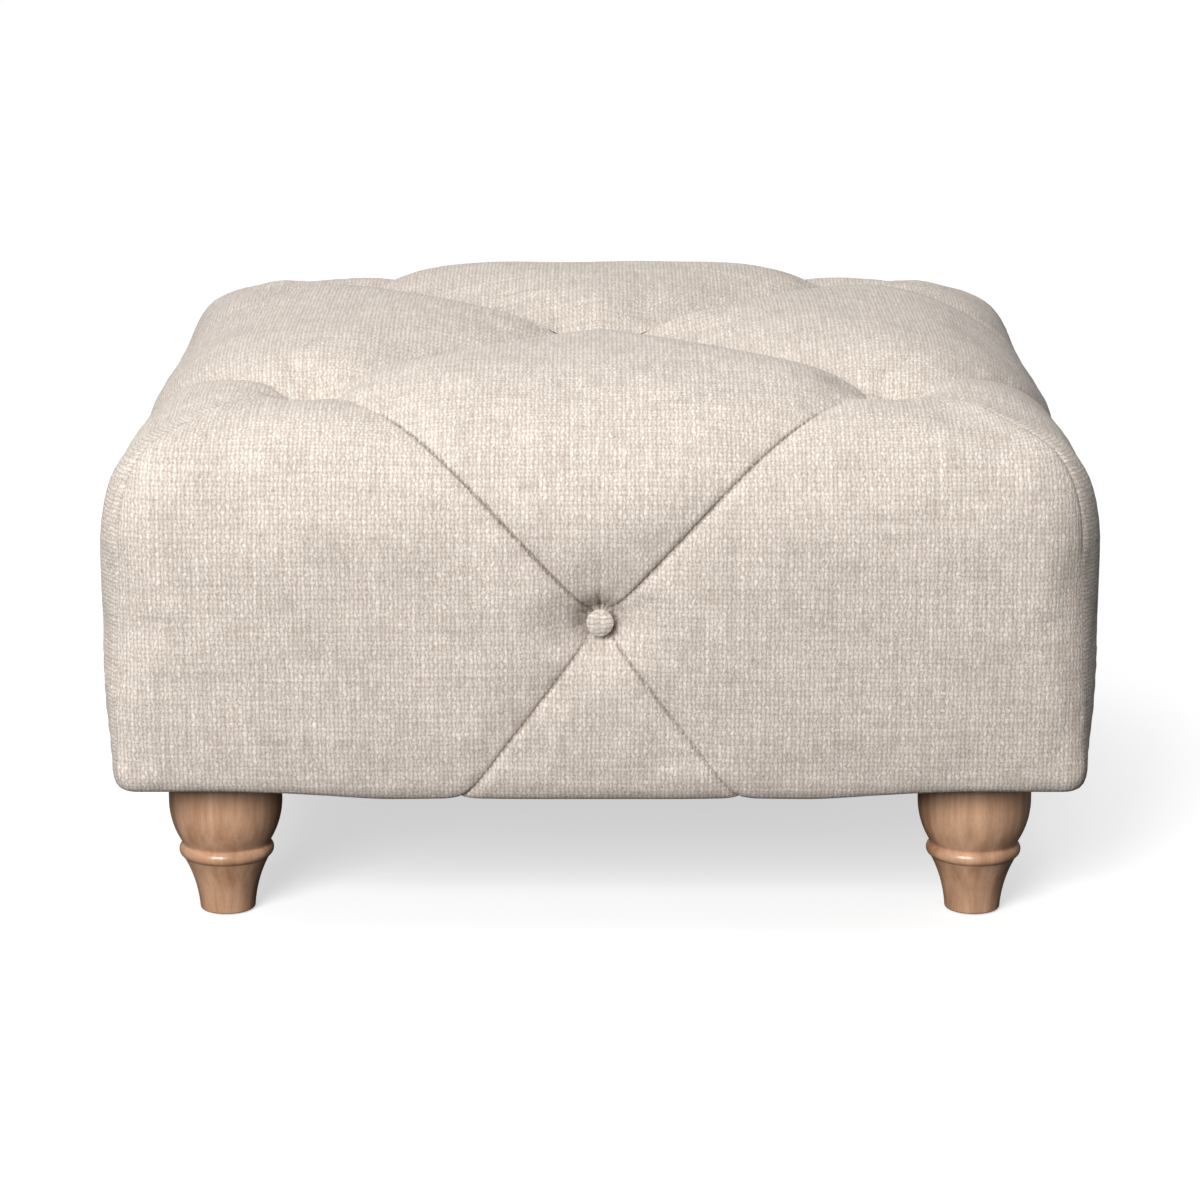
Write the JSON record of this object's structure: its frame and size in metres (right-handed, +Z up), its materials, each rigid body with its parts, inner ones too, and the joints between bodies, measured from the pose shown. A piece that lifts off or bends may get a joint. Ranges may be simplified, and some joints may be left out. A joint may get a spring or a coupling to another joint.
{
  "type": "upholstered footstool",
  "caption": "Square deep-buttoned footstool with a padded fabric body on turned wooden feet.",
  "frame": {"origin": "on the floor, under the middle of the stool", "axes": "+Z up, -Y towards the front face seen in the picture, +X to the right of that face; the four sides are alike"},
  "size_m": [0.804, 0.804, 0.454],
  "materials": {
    "cover_fabric": "oatmeal linen-look weave",
    "button_fabric": "oatmeal linen-look weave, stretched over a cap",
    "fibre": "bonded polyester fibre",
    "foam": "open-cell upholstery foam",
    "cambric": "black non-woven dust cloth",
    "foot_wood": "turned hardwood, stained mid brown, satin lacquer",
    "frame_wood": "planed softwood",
    "plywood": "birch plywood",
    "hardboard": "smooth hardboard",
    "glide_plastic": "brown nylon",
    "zinc_steel": "zinc-plated steel",
    "twine": "waxed upholstery twine",
    "anchor_plastic": "nylon disc"
  },
  "bodies": {
    "root": {"button_twines": "twine", "deck": "plywood", "deck_screws": "zinc_steel", "dust_cover": "cambric", "dust_cover_staples": "zinc_steel", "fabric_cover": "cover_fabric", "fibre_padding": "fibre", "frame_screws": "zinc_steel", "front_bottom_rail": "frame_wood", "front_button": "button_fabric", "front_foam": "foam", "front_left_corner_block": "frame_wood", "front_left_foot": "foot_wood", "front_left_glide": "glide_plastic", "front_left_post": "frame_wood", "front_panel": "hardboard", "front_right_corner_block": "frame_wood", "front_right_foot": "foot_wood", "front_right_glide": "glide_plastic", "front_right_post": "frame_wood", "front_top_rail": "frame_wood", "hanger_bolts": "zinc_steel", "hem_staples": "zinc_steel", "left_bottom_rail": "frame_wood", "left_button": "button_fabric", "left_cross_rail": "frame_wood", "left_foam": "foam", "left_panel": "hardboard", "left_top_rail": "frame_wood", "panel_pins": "zinc_steel", "rear_bottom_rail": "frame_wood", "rear_button": "button_fabric", "rear_foam": "foam", "rear_left_corner_block": "frame_wood", "rear_left_foot": "foot_wood", "rear_left_glide": "glide_plastic", "rear_left_post": "frame_wood", "rear_panel": "hardboard", "rear_right_corner_block": "frame_wood", "rear_right_foot": "foot_wood", "rear_right_glide": "glide_plastic", "rear_right_post": "frame_wood", "rear_top_rail": "frame_wood", "right_bottom_rail": "frame_wood", "right_button": "button_fabric", "right_cross_rail": "frame_wood", "right_foam": "foam", "right_panel": "hardboard", "right_top_rail": "frame_wood", "tee_nuts": "zinc_steel", "top_button_centre": "button_fabric", "top_button_front_left": "button_fabric", "top_button_front_right": "button_fabric", "top_button_rear_left": "button_fabric", "top_button_rear_right": "button_fabric", "top_foam": "foam", "twine_anchors": "anchor_plastic"}
  },
  "joints": []
}
